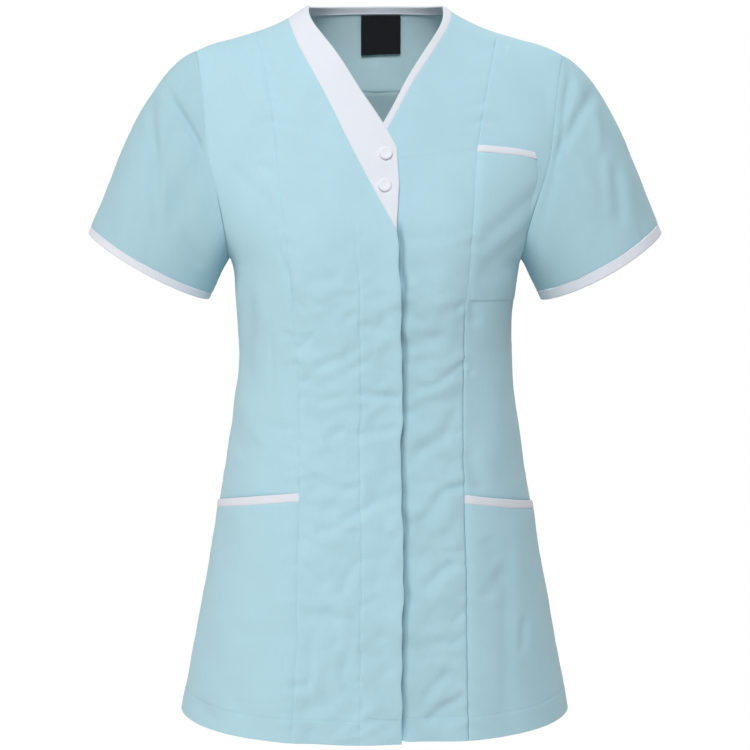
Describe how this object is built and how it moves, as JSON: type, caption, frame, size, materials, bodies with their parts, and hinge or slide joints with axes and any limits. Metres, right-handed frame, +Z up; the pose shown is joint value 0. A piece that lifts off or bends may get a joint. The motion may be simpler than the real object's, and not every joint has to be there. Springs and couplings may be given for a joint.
{
  "type": "work tunic",
  "caption": "Short-sleeved fitted work tunic with a crossed V neck, white trim, side-front pockets and a concealed front placket, shown filled out with nobody in it.",
  "frame": {"origin": "midway between the two side neck points on the shoulder line, where a wearer's shoulders hold the garment up", "axes": "+X to the wearer's left, -Y out of the front, +Z up"},
  "size_m": [0.5696, 0.2828, 0.7114],
  "materials": {
    "blue_cloth": "matt pale blue polyester and cotton twill",
    "white_cloth": "matt white polyester and cotton twill",
    "white_stud": "white enamelled stud cap",
    "black_label": "matt black woven label, bare"
  },
  "bodies": {
    "root": {"front_centre_right": "blue_cloth", "front_side_right": "blue_cloth", "front_centre_left": "blue_cloth", "front_side_left": "blue_cloth", "back_yoke": "blue_cloth", "back_body": "blue_cloth", "sleeve_right": "blue_cloth", "sleeve_left": "blue_cloth", "sleeve_binding_right": "white_cloth", "sleeve_binding_left": "white_cloth", "neck_band": "white_cloth", "neck_binding_left": "white_cloth", "neck_binding_back": "white_cloth", "chest_pocket": "blue_cloth", "chest_pocket_trim": "white_cloth", "lower_pocket_right": "blue_cloth", "lower_pocket_left": "blue_cloth", "lower_pocket_trim_right": "white_cloth", "lower_pocket_trim_left": "white_cloth", "stud_upper": "white_stud", "stud_lower": "white_stud", "label": "black_label"}
  },
  "joints": []
}
